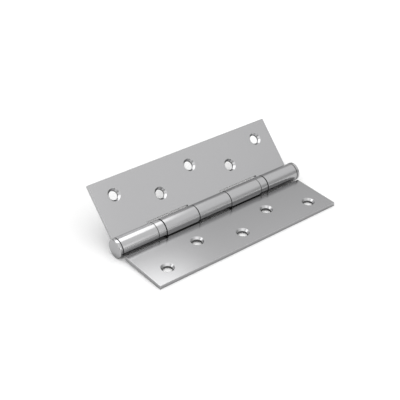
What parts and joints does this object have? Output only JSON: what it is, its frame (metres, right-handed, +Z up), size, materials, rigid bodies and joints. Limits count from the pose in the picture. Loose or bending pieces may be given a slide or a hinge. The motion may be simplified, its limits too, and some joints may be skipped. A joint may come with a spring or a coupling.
{
  "type": "ball bearing butt hinge",
  "caption": "Butt hinge with two flat countersunk leaves rolled round one pin, flush ball bearings between the knuckles and flat button ends; the leaves swing from shut to wide open.",
  "frame": {"origin": "middle of the flat back face of the leaf with two knuckles, halfway along the hinge", "axes": "+X along the pin, from its head to the plug; +Y from that leaf towards the barrel and the raised leaf; +Z up out of the leaf's countersunk face"},
  "size_m": [0.158, 0.0798, 0.0359],
  "materials": {
    "leaf_steel": "satin stainless steel, rolled sheet, smooth with no grain to be seen from a step away",
    "pin_steel": "turned stainless steel, polished buttons",
    "case_steel": "drawn stainless steel, polished flush with the knuckles",
    "race_steel": "hardened bearing steel, ground, oiled",
    "ball_steel": "polished bearing steel",
    "cage_nylon": "natural nylon"
  },
  "bodies": {
    "flat_leaf": {"leaf_two_knuckle": "leaf_steel", "bearing_1_turning_race": "race_steel", "bearing_2_case": "case_steel", "bearing_2_seated_race": "race_steel"},
    "raised_leaf": {"leaf_three_knuckle": "leaf_steel", "hinge_pin": "pin_steel", "end_plug": "pin_steel", "bearing_1_case": "case_steel", "bearing_1_seated_race": "race_steel", "bearing_2_turning_race": "race_steel"},
    "ball_ring_1": {"bearing_1_cage": "cage_nylon", "bearing_1_ball_1": "ball_steel", "bearing_1_ball_2": "ball_steel", "bearing_1_ball_3": "ball_steel", "bearing_1_ball_4": "ball_steel", "bearing_1_ball_5": "ball_steel", "bearing_1_ball_6": "ball_steel", "bearing_1_ball_7": "ball_steel", "bearing_1_ball_8": "ball_steel"},
    "ball_ring_2": {"bearing_2_cage": "cage_nylon", "bearing_2_ball_1": "ball_steel", "bearing_2_ball_2": "ball_steel", "bearing_2_ball_3": "ball_steel", "bearing_2_ball_4": "ball_steel", "bearing_2_ball_5": "ball_steel", "bearing_2_ball_6": "ball_steel", "bearing_2_ball_7": "ball_steel", "bearing_2_ball_8": "ball_steel"}
  },
  "joints": [
    {"name": "leaf_swing", "type": "hinge", "parent": "flat_leaf", "child": "raised_leaf", "pos_m": [0, 0.02495, 0.00515], "axis": [1, 0, 0], "range_deg": [-134.3, 135.7]},
    {"name": "ball_ring_1_turn", "type": "hinge", "parent": "flat_leaf", "child": "ball_ring_1", "pos_m": [-0.0449, 0.02495, 0.00515], "axis": [1, 0, 0], "range_deg": [-67.65, 68.35]},
    {"name": "ball_ring_2_turn", "type": "hinge", "parent": "flat_leaf", "child": "ball_ring_2", "pos_m": [0.0449, 0.02495, 0.00515], "axis": [1, 0, 0], "range_deg": [-67.65, 68.35]}
  ],
  "couplings": [
    {"joint": "ball_ring_1_turn", "follows": "leaf_swing", "ratio": 0.5},
    {"joint": "ball_ring_2_turn", "follows": "leaf_swing", "ratio": 0.5}
  ]
}
